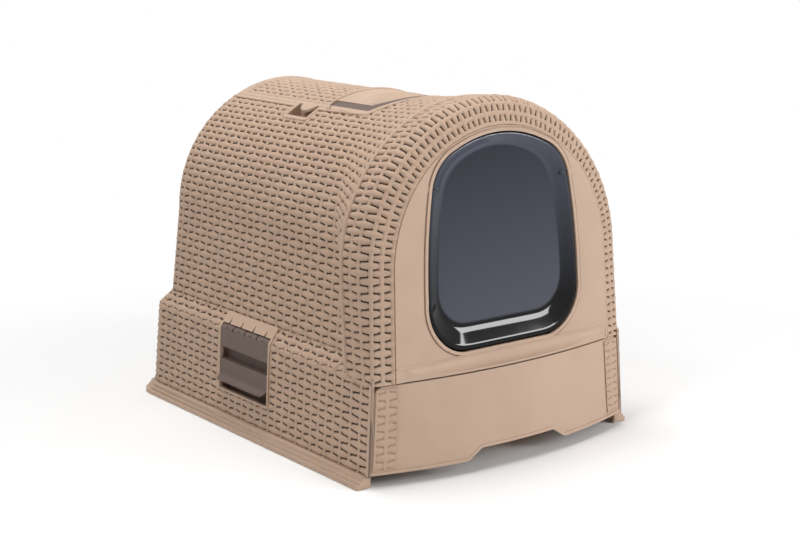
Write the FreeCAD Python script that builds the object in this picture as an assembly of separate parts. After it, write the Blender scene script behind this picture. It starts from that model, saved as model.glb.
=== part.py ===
import FreeCAD, Part
import math
import os

# A hooded litter box: a flat base that carries a sliding litter drawer, and a lift-off
# arched hood with a swing door, two side clips, a carry handle and a filter compartment.
# Millimetres. x to the right, y to the rear, z up. The front faces -y and the floor is z = 0.

V = FreeCAD.Vector

# Walls and clearances
wall = 3.0                    # hood and base wall
thin_wall = 2.5               # drawer pan and door wall
seat_gap = 0.3                # between a piece and what carries it
side_gap = 1.0                # between nested walls
pin_clearance = 0.06          # radial, at every hinge pin

# Hood skirt: the straight lower part, with draft on its sides and rear
front_y = -225.0              # plane of the hood's front corners
rear_y = 243.4                # rear wall at the skirt's foot
skirt_foot_half = 180.6
skirt_head_half = 174.0
skirt_foot_z = 12.8
skirt_head_z = 113.0
skirt_corner_radius = 18.0
shoulder_in = 12.5            # the shoulder steps in this far
shoulder_head_z = 129.5

# Hood arch behind the ring
arch_radius = 150.0
arch_centre_z = 231.0
arch_tuck = 1.8               # the arch's foot stands this far outside the shoulder's head
arch_start_foot = 54.0        # behind the front corners, at the foot
arch_start_crown = 138.0      # behind the front corners, at the crown
arch_rear_lean = 9.0          # the rear wall leans in this far over its height
arch_edge_round = 14.0

# Flared front ring
front_lean = 3.2              # degrees, the whole front leans back
lean_z = 124.0                # height where the front's place is given
front_reach = 7.0             # the smooth front stands this far ahead of the corners
ring_centre_z = 217.0
ring_foot_z = 108.7
mouth_radius = 145.5
mouth_foot_half = 149.5
ring_corner_radius = 170.0
ring_crest_radius = 177.5
ring_back_radius = 174.5
ring_proud = 0.8              # the ring's foot stands proud of the skirt
corner_back = 8.5             # places behind the smooth front
crest_back = 22.5
ring_back = 54.5

# Base tray
flange_reach = 11.0           # beyond the skirt's foot
flange_lip = 4.5
flange_step = 8.0
flange_front = 5.0            # behind the hood's front corners
floor_thickness = 3.0
upright_head_z = 100.0
rail_x = 112.0
rail_width = 4.0
rail_height = 2.7
scallop_half = 105.0          # hand recess in the floor's front edge
scallop_depth = 75.0

# Litter drawer
drawer_head_z = 107.0
drawer_foot_z = 14.0
drawer_head_bulge = 21.0      # how far the front bows out at its upper edge
drawer_foot_bulge = 30.0
drawer_skin = 3.0
drawer_lip = 1.0              # raised edge along the foot
drawer_lip_height = 3.2
drawer_corner_radius = 10.0
notch_half_foot = 68.0
notch_half_head = 51.0
notch_height = 11.5
pan_rim_z = 98.0
pan_draft = 9.0
pan_corner_radius = 28.0
pan_front_slope = 30.0
pan_rim_width = 5.0

# Smooth front panel and door
door_foot_z = 129.0
door_head_z = 354.5
door_half = 103.0
door_widest_z = 187.0
door_pivot_z = 304.0
door_pivot_half = 92.6        # half width at the pivot
door_shoulder_half = 60.0
door_shoulder_z = 341.0
door_foot_half = 60.0
door_gap = 1.5
door_dish = 7.0
door_bevel_side = 19.0
door_bevel_head = 14.0
door_bevel_foot = 29.0
door_pin_radius = 2.0
door_pin_back = 2.6           # behind the panel's face
door_pin_length = 5.0
bead_width = 3.4
bead_height = 1.3
bead_groove = 1.6
ledge_cove = 13.0             # radius of the hollow over the ledge's lip
ledge_bead = 1.0
panel_fit = 0.3
panel_flange = 6.0

# Side clips
clip_y = 22.0                 # middle of the clip along the box
clip_half = 50.4
clip_side_gap = 0.6
clip_thickness = 2.4
clip_proud = 0.6
clip_head_gap = 0.6           # room over the clip's hinge for its swing
clip_slot_head_z = 91.0
clip_slot_foot_z = 76.0
clip_slot_depth = 9.0
clip_lip_z = 62.0
clip_lip_reach = 7.0
clip_foot_z = 54.5
clip_foot_round = 9.0
clip_barrel_radius = 3.0
clip_axis_depth = 3.2         # below the shoulder's face
clip_axis_rise = 3.0          # above the skirt's head, along z
clip_pin_radius = 2.0
clip_pin_length = 3.2
clip_catch_gap = 0.4
clip_finger_gap = 2.0
clip_fingers = 4
clip_pocket_width = 4.4
clip_pocket_depth = 1.2
frame_border = 2.5
frame_proud = 1.2
frame_foot_z = 39.0
frame_head_z = 131.0
frame_slit_width = 3.2
frame_slit_height = 7.0
cheek_thickness = 3.6
cheek_inner = 9.0             # how far a cheek reaches in from the clip's axis

# Filter compartment and lid
lid_half = 67.0
lid_front_y = 8.0
lid_rear_y = 192.0
lid_thickness = 2.5
lid_gap = 0.4
lid_ledge = 5.0
compartment_depth = 20.0      # below the lid's side edges
filter_thickness = 10.0
filter_gap = 3.0
vent_width = 5.0
vent_pitch = 14.0
vent_count = 9
vent_margin = 16.0
well_reach = 19.0             # finger wells beside the lid
well_front_y = 20.0
well_rear_y = 60.0
well_depth = 15.0             # below the arch at the well's outer side
tab_radius = 15.0
tab_reach = 10.0

# Carry handle
handle_half = 62.0
handle_width = 9.5
handle_thickness = 5.0
handle_front_y = -67.0        # at the front corners of the bail
handle_bow = 19.0             # the front bar bows forward
handle_bar_width = 8.5
handle_rear_y = 4.5
handle_pivot_y = 1.0
handle_pivot_rise = 0.8       # above the middle of the legs' outer edge
handle_pin_radius = 1.6
handle_pin_length = 3.6
handle_gap = 0.6
handle_inner_gap = 1.3
handle_flush = 0.4            # below the arch
handle_swing = 8.6            # free radius round the pivot
scoop_half = 40.0
scoop_depth = 15.0
scoop_back = 30.0
deck_margin = 8.0             # solid ground round the handle
deck_depth = 21.0

os.makedirs("parts", exist_ok=True)


def save(shape, node):
    shape.exportStep("parts/" + node + ".step")


def line(a, b):
    return Part.LineSegment(a, b).toShape()


def arc(a, m, b):
    return Part.Arc(a, m, b).toShape()


def block(x0, x1, y0, y1, z0, z1):
    return Part.makeBox(x1 - x0, y1 - y0, z1 - z0, V(x0, y0, z0))


def rod(start, axis, length, radius):
    return Part.makeCylinder(radius, length, start, axis)


def mirrored(shape):
    return shape.mirror(V(0, 0, 0), V(1, 0, 0))


def both_sides(shape):
    return [shape, mirrored(shape)]


def loft(wires):
    return Part.makeLoft(wires, True, True)


def prism(wire, direction):
    return Part.Face(wire).extrude(direction)


def tray_wire(half, y0, y1, radius, z):
    """Outline in plan with square front corners and rounded rear corners."""
    k = radius * (1 - math.sqrt(0.5))
    return Part.Wire([
        line(V(-half, y0, z), V(half, y0, z)),
        line(V(half, y0, z), V(half, y1 - radius, z)),
        arc(V(half, y1 - radius, z), V(half - k, y1 - k, z), V(half - radius, y1, z)),
        line(V(half - radius, y1, z), V(radius - half, y1, z)),
        arc(V(radius - half, y1, z), V(k - half, y1 - k, z), V(-half, y1 - radius, z)),
        line(V(-half, y1 - radius, z), V(-half, y0, z)),
    ])


def pan_wire(half, y0, y1, radius, z):
    """Outline in plan with four rounded corners."""
    k = radius * (1 - math.sqrt(0.5))
    return Part.Wire([
        line(V(radius - half, y0, z), V(half - radius, y0, z)),
        arc(V(half - radius, y0, z), V(half - k, y0 + k, z), V(half, y0 + radius, z)),
        line(V(half, y0 + radius, z), V(half, y1 - radius, z)),
        arc(V(half, y1 - radius, z), V(half - k, y1 - k, z), V(half - radius, y1, z)),
        line(V(half - radius, y1, z), V(radius - half, y1, z)),
        arc(V(radius - half, y1, z), V(k - half, y1 - k, z), V(-half, y1 - radius, z)),
        line(V(-half, y1 - radius, z), V(-half, y0 + radius, z)),
        arc(V(-half, y0 + radius, z), V(k - half, y0 + k, z), V(radius - half, y0, z)),
    ])


def arch_wire(foot_half, foot_z, radius, centre_z, y):
    """Outline seen from the front: straight sides under a half circle."""
    c = radius * math.sqrt(0.5)
    crown = V(0, y, centre_z + radius)
    left, right = V(-radius, y, centre_z), V(radius, y, centre_z)
    foot_left, foot_right = V(-foot_half, y, foot_z), V(foot_half, y, foot_z)
    return Part.Wire([
        line(foot_left, left),
        arc(left, V(-c, y, centre_z + c), crown),
        arc(crown, V(c, y, centre_z + c), right),
        line(right, foot_right),
        line(foot_right, foot_left),
    ])


def skirt_half(z):
    share = (z - skirt_foot_z) / (skirt_head_z - skirt_foot_z)
    return skirt_foot_half + share * (skirt_head_half - skirt_foot_half)


def skirt_rear(z):
    return rear_y - skirt_foot_half + skirt_half(z)


def arch_surface_z(x, radius):
    return arch_centre_z + math.sqrt(radius * radius - x * x)


def mouth_half(z):
    share = (ring_centre_z - z) / (ring_centre_z - ring_foot_z)
    return mouth_radius + share * (mouth_foot_half - mouth_radius)


fascia_y = front_y - front_reach
arch_foot_half = skirt_head_half - shoulder_in + arch_tuck
compartment_floor_z = arch_surface_z(lid_half, arch_radius) - compartment_depth
well_floor_z = arch_surface_z(lid_half + well_reach, arch_radius) - well_depth
handle_pivot_z = arch_surface_z(handle_half, arch_radius - handle_flush - handle_thickness / 2)
handle_pivot_z += handle_pivot_rise


def to_front(shape):
    """Carries a shape drawn on the plane y = 0 to the leaning front."""
    placed = shape.translated(V(0, fascia_y, 0))
    placed.rotate(V(0, fascia_y, lean_z), V(1, 0, 0), -front_lean)
    return placed


def ring_section(radius, foot_half, back, inset, foot_z):
    return to_front(arch_wire(foot_half - inset, foot_z, radius - inset, ring_centre_z, back))


def arch_section(inset, y_foot, y_crown, foot_z):
    """Outline of the arch on a plane that runs from y_foot at the skirt's head to y_crown at the crown."""
    slope = (y_crown - y_foot) / (arch_centre_z + arch_radius - skirt_head_z)
    wire = arch_wire(arch_foot_half - inset, foot_z, arch_radius - inset, arch_centre_z, 0)
    shear = FreeCAD.Matrix(1, 0, 0, 0, 0, 1, slope, y_foot - slope * skirt_head_z, 0, 0, 1, 0, 0, 0, 0, 1)
    return wire.transformGeometry(shear)


def arch_form(inset):
    """The ring and arch as one body, drawn in by inset all round."""
    ring_foot_half = skirt_half(ring_foot_z) + ring_proud
    foot_z = ring_foot_z if inset == 0 else ring_foot_z - 3 * inset
    arch_foot_z = skirt_head_z if inset == 0 else skirt_head_z - 3 * inset
    rear_foot = skirt_rear(skirt_head_z) - shoulder_in
    front_in, back_in = 0.85 * inset, -0.7 * inset
    rear_steps = [(arch_edge_round, 0.0), (0.3 * arch_edge_round, 0.3 * arch_edge_round), (0.0, arch_edge_round)]
    wires = [
        ring_section(mouth_radius, mouth_foot_half, front_in, inset, foot_z),
        ring_section(ring_corner_radius, ring_foot_half, corner_back + front_in, inset, foot_z),
        ring_section(ring_crest_radius, ring_foot_half, crest_back, inset, foot_z),
        ring_section(ring_back_radius, ring_foot_half, ring_back + back_in, inset, foot_z),
        arch_section(inset, front_y + arch_start_foot + back_in, front_y + arch_start_crown, arch_foot_z),
    ]
    for ahead, drawn_in in rear_steps:
        y = rear_foot - ahead - inset
        wires.append(arch_section(inset + drawn_in, y, y - arch_rear_lean, arch_foot_z))
    return loft(wires)


def skirt_form(grow):
    """The skirt and shoulder as one body, grown outward."""
    rows = [
        (skirt_foot_half, rear_y, skirt_foot_z),
        (skirt_head_half, skirt_rear(skirt_head_z), skirt_head_z),
        (skirt_head_half - shoulder_in, skirt_rear(skirt_head_z) - shoulder_in, shoulder_head_z),
    ]
    return loft([tray_wire(h + grow, front_y, y + grow, skirt_corner_radius + grow, z) for h, y, z in rows])


def skirt_void():
    """The space inside the skirt and shoulder, open below and through the drawer's mouth."""
    below = skirt_foot_z - wall
    mouth_head = ring_foot_z - seat_gap
    head = skirt_head_z - 0.6 * wall
    corner = skirt_corner_radius - wall
    ahead = front_y - drawer_foot_bulge
    lower = loft([tray_wire(skirt_half(z) - wall, ahead, skirt_rear(z) - wall, corner, z)
                  for z in (below, mouth_head)])
    rows = [(skirt_half(mouth_head), skirt_rear(mouth_head), mouth_head - 0.1),
            (skirt_half(head), skirt_rear(head), head),
            (skirt_half(head) - shoulder_in, skirt_rear(head) - shoulder_in, shoulder_head_z - 0.6 * wall)]
    upper = loft([tray_wire(h - wall, front_y + wall, y - wall, corner, z) for h, y, z in rows])
    return lower.fuse(upper)


def rounded(corners, place):
    """Closed wire through (a, b, radius) corners, each rounded by its radius. place makes a point of (a, b)."""
    def towards(p, q, distance):
        span = math.hypot(q[0] - p[0], q[1] - p[1])
        return (p[0] + (q[0] - p[0]) * distance / span, p[1] + (q[1] - p[1]) * distance / span)

    runs = []
    for i, (a, b, radius) in enumerate(corners):
        before, here, after = corners[i - 1][:2], (a, b), corners[(i + 1) % len(corners)][:2]
        u, w = towards(here, before, 1), towards(here, after, 1)
        cosine = (u[0] - a) * (w[0] - a) + (u[1] - b) * (w[1] - b)
        half_angle = math.acos(max(-1, min(1, cosine))) / 2
        reach = radius / math.tan(half_angle)
        bisector = ((u[0] + w[0]) / 2, (u[1] + w[1]) / 2)
        middle = towards(here, bisector, radius / math.sin(half_angle) - radius)
        runs.append((towards(here, before, reach), middle, towards(here, after, reach), radius > 0))
    edges = []
    for i, (start, middle, end, curved) in enumerate(runs):
        if curved:
            edges.append(arc(place(*start), place(*middle), place(*end)))
        edges.append(line(place(*end), place(*runs[(i + 1) % len(runs)][0])))
    return Part.Wire(edges)


# Clip hinge axis, just under the shoulder's face
shoulder_rise = shoulder_head_z - skirt_head_z
shoulder_length = math.hypot(shoulder_rise, shoulder_in)
shoulder_normal = V(shoulder_rise / shoulder_length, 0, shoulder_in / shoulder_length)
clip_axis = V(skirt_head_half - shoulder_in * clip_axis_rise / shoulder_rise, 0, skirt_head_z + clip_axis_rise)
clip_axis = clip_axis - shoulder_normal * clip_axis_depth
window_y0 = clip_y - clip_half - clip_side_gap
window_y1 = clip_y + clip_half + clip_side_gap
window_head_z = clip_axis.z + clip_axis_depth + clip_proud + clip_head_gap
clip_slot_x = skirt_half(clip_slot_head_z) + clip_proud - clip_slot_depth
niche_x = clip_slot_x - clip_thickness - clip_catch_gap
far_x = skirt_foot_half + skirt_head_half


def finger_middles():
    pitch = 2 * clip_half / clip_fingers
    return [clip_y - clip_half + (i + 0.5) * pitch for i in range(clip_fingers)]


def wedge(foot, width, height):
    """Upright triangle in the plane of y and z that stands on the middle of its foot."""
    side = V(0, width / 2, 0)
    return Part.Face(Part.makePolygon([foot - side, foot + side, foot + V(0, 0, height), foot - side]))


def clip_frame(outer, void):
    """Raised border, hinge cheeks and pin holes for the right-hand clip: what is added and what is cut."""
    inner_x = clip_axis.x - cheek_inner
    rim = block(inner_x, far_x, window_y0 - frame_border, window_y1 + frame_border, frame_foot_z, frame_head_z)
    rim = rim.common(outer).cut(void)
    cheeks = [block(inner_x, far_x, y, y + cheek_thickness, clip_axis.z - cheek_inner, window_head_z).common(outer)
              for y in (window_y0 - cheek_thickness, window_y1)]
    window = block(inner_x - wall, far_x, window_y0, window_y1, frame_foot_z + frame_border, window_head_z)
    hole_length = window_y1 - window_y0 + 2 * cheek_thickness + 2 * side_gap
    hole_start = V(clip_axis.x, window_y0 - cheek_thickness - side_gap, clip_axis.z)
    holes = rod(hole_start, V(0, 1, 0), hole_length, clip_pin_radius + pin_clearance)
    cuts = [window, holes]
    for y in finger_middles():
        slit = wedge(V(inner_x - wall, y, window_head_z - side_gap), frame_slit_width, frame_slit_height + side_gap)
        cuts.append(slit.extrude(V(far_x, 0, 0)))
    return rim.multiFuse(cheeks), cuts


def arch_rod(radius):
    """A round bar on the arch's axis, longer than the hood."""
    return rod(V(0, 2 * front_y, arch_centre_z), V(0, 1, 0), -4 * front_y, radius)


def lid_plan(grow, z0):
    """The lid's outline with its two finger tabs, as a tall prism."""
    height = 2 * arch_radius
    body = block(-lid_half - grow, lid_half + grow, lid_front_y - grow, lid_rear_y + grow, z0, z0 + height)
    middle_y = (well_front_y + well_rear_y) / 2
    tab = rod(V(lid_half + tab_reach - tab_radius, middle_y, z0), V(0, 0, 1), height, tab_radius)
    return body.multiFuse(both_sides(tab))


def bail_plan(grow_out, grow_in, z0):
    """The handle's U outline as a tall prism: legs along y and a bar that bows forward."""
    height = 2 * arch_radius

    def outline(half, corner_y, bow_y, back_y):
        return prism(Part.Wire([
            line(V(half, back_y, z0), V(half, corner_y, z0)),
            arc(V(half, corner_y, z0), V(0, bow_y, z0), V(-half, corner_y, z0)),
            line(V(-half, corner_y, z0), V(-half, back_y, z0)),
            line(V(-half, back_y, z0), V(half, back_y, z0)),
        ]), V(0, 0, height))

    outer = outline(handle_half + grow_out, handle_front_y - grow_out,
                    handle_front_y - handle_bow - grow_out, handle_rear_y)
    inner = outline(handle_half - handle_width - grow_in, handle_front_y + handle_bar_width + grow_in,
                    handle_front_y - handle_bow + handle_bar_width + grow_in, handle_rear_y + height)
    return outer.cut(inner)


def hood_top(solid):
    """Compartment, lid seat, finger wells and handle ground on the crown: what is added and what is cut."""
    top = arch_centre_z + arch_radius + wall
    rim = wall + lid_gap
    tub = block(-lid_half - rim, lid_half + rim, lid_front_y - rim, lid_rear_y + rim,
                compartment_floor_z - wall, top)
    well_out = lid_half + well_reach
    well_ground = block(lid_half - lid_ledge, well_out + wall, well_front_y - wall, well_rear_y + wall,
                        well_floor_z - wall, top)
    deck_front = handle_front_y - handle_bow - deck_margin
    deck_half = handle_half + deck_margin
    deck = block(-deck_half, deck_half, deck_front, lid_front_y, compartment_floor_z - wall, top)
    deck = deck.cut(arch_rod(arch_radius - deck_depth))
    added = [tub.common(solid), deck.common(solid)]
    added += [g.common(solid) for g in both_sides(well_ground)]

    seat = lid_plan(lid_gap, compartment_floor_z).cut(arch_rod(arch_radius - lid_thickness - seat_gap))
    cavity = block(lid_ledge - lid_half, lid_half - lid_ledge, lid_front_y + lid_ledge, lid_rear_y - lid_ledge,
                   compartment_floor_z, top)
    well = block(lid_half, well_out, well_front_y, well_rear_y, well_floor_z, top)
    cuts = [seat, cavity] + both_sides(well)
    vent_half = lid_half - lid_ledge - vent_margin
    vent_middle = (lid_front_y + lid_rear_y) / 2
    for i in range(vent_count):
        y = vent_middle + (i - (vent_count - 1) / 2) * vent_pitch
        cuts.append(block(-vent_half, vent_half, y - vent_width / 2, y + vent_width / 2,
                          compartment_floor_z - 2 * wall, compartment_floor_z + wall))

    groove_floor = arch_radius - handle_flush - handle_thickness - seat_gap
    groove = bail_plan(handle_gap, handle_inner_gap, compartment_floor_z).cut(arch_rod(groove_floor))
    leg_in = handle_half - handle_width - handle_inner_gap
    swing = rod(V(leg_in, handle_pivot_y, handle_pivot_z), V(1, 0, 0),
                handle_half + handle_gap - leg_in, handle_swing)
    pin_hole = rod(V(handle_half, handle_pivot_y, handle_pivot_z), V(1, 0, 0),
                   handle_pin_length + side_gap, handle_pin_radius + pin_clearance)
    bar_front = handle_front_y - handle_bow
    scoop_radius = scoop_back
    scoop = rod(V(-scoop_half, bar_front + scoop_back, top - scoop_depth + scoop_radius), V(1, 0, 0),
                2 * scoop_half, scoop_radius)
    scoop = scoop.common(block(-scoop_half, scoop_half, bar_front, bar_front + 2 * scoop_back, 0, 2 * top))
    hollow = block(3 * wall - leg_in, leg_in - 3 * wall, bar_front + 2 * scoop_back, lid_front_y - 2 * wall,
                   compartment_floor_z - 2 * wall, top).common(arch_rod(arch_radius - 2 * wall))
    cuts += [groove, scoop, hollow] + both_sides(swing) + both_sides(pin_hole)
    return added, cuts


def hood():
    solid = arch_form(0)
    void = skirt_void()
    shell = solid.fuse(skirt_form(0)).cut(arch_form(wall).fuse(void))
    mouth_foot = ring_foot_z - 2 * wall
    mouth = arch_wire(mouth_half(mouth_foot), mouth_foot, mouth_radius, ring_centre_z, -wall)
    cuts = [to_front(prism(mouth, V(0, 4 * wall, 0)))]
    frame, frame_cuts = clip_frame(skirt_form(frame_proud), void)
    added, top_cuts = hood_top(solid)
    added += both_sides(frame)
    cuts += top_cuts
    for cut in frame_cuts:
        cuts += both_sides(cut)
    return shell.multiFuse(added).cut(cuts)


def base():
    flange_half, flange_rear = skirt_foot_half + flange_reach, rear_y + flange_reach
    flange_y0 = front_y + flange_front
    radius = skirt_corner_radius + flange_reach
    head_z = skirt_foot_z - seat_gap
    tier = flange_reach / 3.5

    def tray(inset, y0, z0, z1):
        wire = tray_wire(flange_half - inset, y0, flange_rear - inset, radius - inset, z0)
        return prism(wire, V(0, 0, z1 - z0))

    flange = tray(0, flange_y0, 0, flange_lip).multiFuse([
        tray(tier, flange_y0, 0, flange_step), tray(2 * tier, flange_y0, 0, head_z)])
    core_inset = flange_reach + wall + side_gap

    def upright_form(inset, z0, y0):
        drop = wall + side_gap + inset
        return loft([tray_wire(skirt_half(z) - drop, y0, skirt_rear(z) - drop, skirt_corner_radius - inset, z)
                     for z in (z0, upright_head_z)])

    core = upright_form(0, 0, front_y)
    hollow = tray(tier + wall, front_y, -wall, flange_lip - wall / 2)
    hollow = hollow.fuse(tray(2 * tier + wall, front_y, -wall, head_z - wall)).cut(tray(core_inset, front_y, -wall, head_z))
    upright_y0 = front_y + 4 * wall
    outer = upright_form(0, 0, upright_y0)
    room = upright_form(wall, floor_thickness, front_y - drawer_foot_bulge)
    niche_y0, niche_y1 = window_y0 - cheek_thickness - wall, window_y1 + cheek_thickness + wall
    niche_z = frame_foot_z - 2 * wall
    niche_wall = block(niche_x - wall, far_x, niche_y0 - wall, niche_y1 + wall, 0, upright_head_z).common(core)
    niche = block(niche_x, far_x, niche_y0, niche_y1, niche_z, upright_head_z + wall)
    mortise = block(niche_x - 2 * wall, niche_x + wall, window_y0 + 4 * wall, window_y1 - 4 * wall,
                    clip_slot_foot_z - side_gap, clip_slot_head_z + side_gap)
    floor = core.common(block(-far_x, far_x, flange_y0, flange_rear, 0, floor_thickness))
    scallop = prism(Part.Wire([
        arc(V(-scallop_half, flange_y0, 0), V(0, flange_y0 + scallop_depth, 0), V(scallop_half, flange_y0, 0)),
        line(V(scallop_half, flange_y0, 0), V(-scallop_half, flange_y0, 0)),
    ]), V(0, 0, floor_thickness))
    rail = block(rail_x - rail_width / 2, rail_x + rail_width / 2, upright_y0 + wall, skirt_rear(0) - 6 * wall,
                 0, floor_thickness + rail_height)
    body = flange.fuse(outer).cut(room).cut(hollow)
    body = body.multiFuse([floor] + both_sides(niche_wall)).cut([scallop] + both_sides(niche) + both_sides(mortise))
    return body.multiFuse(both_sides(rail))


drawer_y = front_y + side_gap / 2
drawer_head_half = skirt_half(drawer_head_z) - wall - side_gap
drawer_foot_half = skirt_half(drawer_foot_z) - wall - side_gap
pan_foot_z = floor_thickness + rail_height + seat_gap
pan_front_y = front_y + 2 * wall


def bowed_wire(half, bulge, back_y, z, grow):
    """Outline in plan whose front edge is an arc that bows forward."""
    ends = drawer_y - grow
    return Part.Wire([
        arc(V(-half - grow, ends, z), V(0, ends - bulge, z), V(half + grow, ends, z)),
        line(V(half + grow, ends, z), V(half + grow, back_y, z)),
        line(V(half + grow, back_y, z), V(-half - grow, back_y, z)),
        line(V(-half - grow, back_y, z), V(-half - grow, ends, z)),
    ])


def drawer_front_form(grow, back_y):
    """The body behind the drawer's bowed front, carried on a little past its foot and head."""
    height = drawer_head_z - drawer_foot_z
    spare = wall / height
    rows = []
    for share in (-spare, 1 + spare):
        half = drawer_foot_half + share * (drawer_head_half - drawer_foot_half)
        bulge = drawer_foot_bulge + share * (drawer_head_bulge - drawer_foot_bulge)
        rows.append(bowed_wire(half, bulge, back_y, drawer_foot_z + share * height, grow))
    return loft(rows)


def drawer_outline(lift):
    """The drawer front's outline seen from the front, with its finger notch, as a prism along y."""
    foot, head = drawer_foot_z + lift, drawer_head_z + lift
    over = drawer_lip + side_gap / 2
    right = [
        (notch_half_head, foot + notch_height, notch_height / 2),
        (notch_half_foot, foot, notch_height / 2),
        (drawer_foot_half + over, foot, 0),
        (drawer_head_half, head, drawer_corner_radius),
    ]
    corners = right + [(-a, b, r) for a, b, r in reversed(right)]
    start = front_y - 2 * drawer_foot_bulge
    return prism(rounded(corners, lambda a, b: V(a, start, b)), V(0, 4 * drawer_foot_bulge, 0))


def litter_drawer():
    rim_half = niche_x - wall - side_gap
    rim_rear = skirt_rear(pan_rim_z) - 2 * (wall + side_gap)
    wall_half, wall_rear = rim_half - pan_rim_width, rim_rear - pan_rim_width

    foot_room = 2 * (wall + side_gap)
    foot_half = min(wall_half - pan_draft, skirt_half(0) - foot_room)
    foot_rear = min(wall_rear - pan_draft, skirt_rear(0) - foot_room)

    def pan_form(inset, floor_z, rim_z):
        return loft([
            pan_wire(foot_half - inset, pan_front_y + pan_front_slope + inset, foot_rear - inset,
                     pan_corner_radius - inset, floor_z),
            pan_wire(wall_half - inset, pan_front_y + inset, wall_rear - inset, pan_corner_radius - inset, rim_z),
        ])

    form = drawer_front_form(0, pan_front_y + wall)
    behind = drawer_front_form(-drawer_skin, pan_front_y + 6 * wall)
    skin = form.cut(behind).common(drawer_outline(0))
    lip_band = drawer_outline(0).cut(drawer_outline(drawer_lip_height))
    lip = drawer_front_form(drawer_lip, front_y + wall).cut(behind).common(lip_band)
    deck = form.common(block(-rim_half, rim_half, front_y - drawer_foot_bulge, pan_front_y + pan_corner_radius,
                             pan_rim_z - thin_wall, pan_rim_z))
    rim = prism(pan_wire(rim_half, pan_front_y, rim_rear, pan_corner_radius + pan_rim_width, pan_rim_z - thin_wall),
                V(0, 0, thin_wall))
    gusset = form.common(block(wall_half / 2, wall_half / 2 + thin_wall, front_y - drawer_foot_bulge,
                               pan_front_y + pan_front_slope, drawer_foot_z + 2 * notch_height, pan_rim_z))
    hollow = pan_form(thin_wall, pan_foot_z + thin_wall, pan_rim_z + thin_wall)
    pan = pan_form(0, pan_foot_z, pan_rim_z).multiFuse([rim, deck] + both_sides(gusset)).cut(hollow)
    return pan.multiFuse([skin, lip])


def door_wire(y, inset_side, inset_head, inset_foot):
    """The door's outline: flat foot, round corners, sides that close in, and an arched head."""
    foot, head = door_foot_z + inset_foot, door_head_z - inset_head
    wide, pivot = door_half - inset_side, door_pivot_half - inset_side
    foot_half, head_half = door_foot_half - inset_side / 2, door_shoulder_half - inset_side / 2
    wide_z, pivot_z, head_z = door_widest_z + inset_foot / 3, door_pivot_z - inset_head, door_shoulder_z - inset_head
    bow = (door_half - door_pivot_half) / 4
    side_z = (wide_z + pivot_z) / 2
    side_x = (wide + pivot) / 2 + bow
    turn = math.sqrt(0.5)
    corner_x, corner_z = foot_half + (wide - foot_half) * turn, wide_z - (wide_z - foot) * turn
    brow_x = head_half + (pivot - head_half) * 0.64
    brow_z = pivot_z + (head_z - pivot_z) * 0.62

    def p(x, z):
        return V(x, y, z)

    return Part.Wire([
        line(p(-foot_half, foot), p(foot_half, foot)),
        arc(p(foot_half, foot), p(corner_x, corner_z), p(wide, wide_z)),
        arc(p(wide, wide_z), p(side_x, side_z), p(pivot, pivot_z)),
        arc(p(pivot, pivot_z), p(brow_x, brow_z), p(head_half, head_z)),
        arc(p(head_half, head_z), p(0, head), p(-head_half, head_z)),
        arc(p(-head_half, head_z), p(-brow_x, brow_z), p(-pivot, pivot_z)),
        arc(p(-pivot, pivot_z), p(-side_x, side_z), p(-wide, wide_z)),
        arc(p(-wide, wide_z), p(-corner_x, corner_z), p(-foot_half, foot)),
    ])


def door_plate(grow, y0, y1):
    """The door's outline, grown evenly, as a plate."""
    wire = door_wire(y0, 0, 0, 0)
    if grow:
        wire = wire.makeOffset2D(grow)
    return prism(wire, V(0, y1 - y0, 0))


def front_panel():
    def outline(grow, foot_z, y0, y1):
        wire = arch_wire(mouth_half(foot_z) + grow, foot_z, mouth_radius + grow, ring_centre_z, y0)
        return prism(wire, V(0, y1 - y0, 0))

    band_slope = corner_back / (ring_corner_radius - mouth_radius)
    flange_y = 0.85 * wall + (panel_flange + wall) * band_slope + seat_gap
    flange_back = flange_y + 0.7 * wall
    foot_z = ring_foot_z + wall
    plate = outline(-panel_fit, lean_z - wall, 0, wall)
    neck = outline(-panel_fit, foot_z, 0, flange_back)
    flange = outline(panel_flange, foot_z, flange_y, flange_back)
    rim = neck.fuse(flange).cut(outline(-panel_fit - wall, foot_z - wall, -wall, 2 * flange_back))
    boss_x = door_pivot_half + door_gap
    boss = rod(V(boss_x, door_pin_back, door_pivot_z), V(1, 0, 0), door_pin_length + wall / 2, 2.1 * door_pin_radius)
    boss = boss.common(block(0, 2 * door_half, 0, door_half, 0, 2 * door_pivot_z))
    hole = rod(V(boss_x - wall, door_pin_back, door_pivot_z), V(1, 0, 0), wall + door_pin_length + seat_gap,
               door_pin_radius + pin_clearance)
    bead = door_plate(door_gap + bead_width, -bead_height, wall)
    groove = door_plate(door_gap + bead_width + bead_groove, -wall, wall / 3).cut(door_plate(door_gap + bead_width, -wall, wall))
    panel = plate.fuse(rim).cut(groove).multiFuse([bead] + both_sides(boss))
    panel = panel.cut([door_plate(door_gap, -wall, wall)] + both_sides(hole))
    return to_front(panel).fuse(front_ledge())


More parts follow.
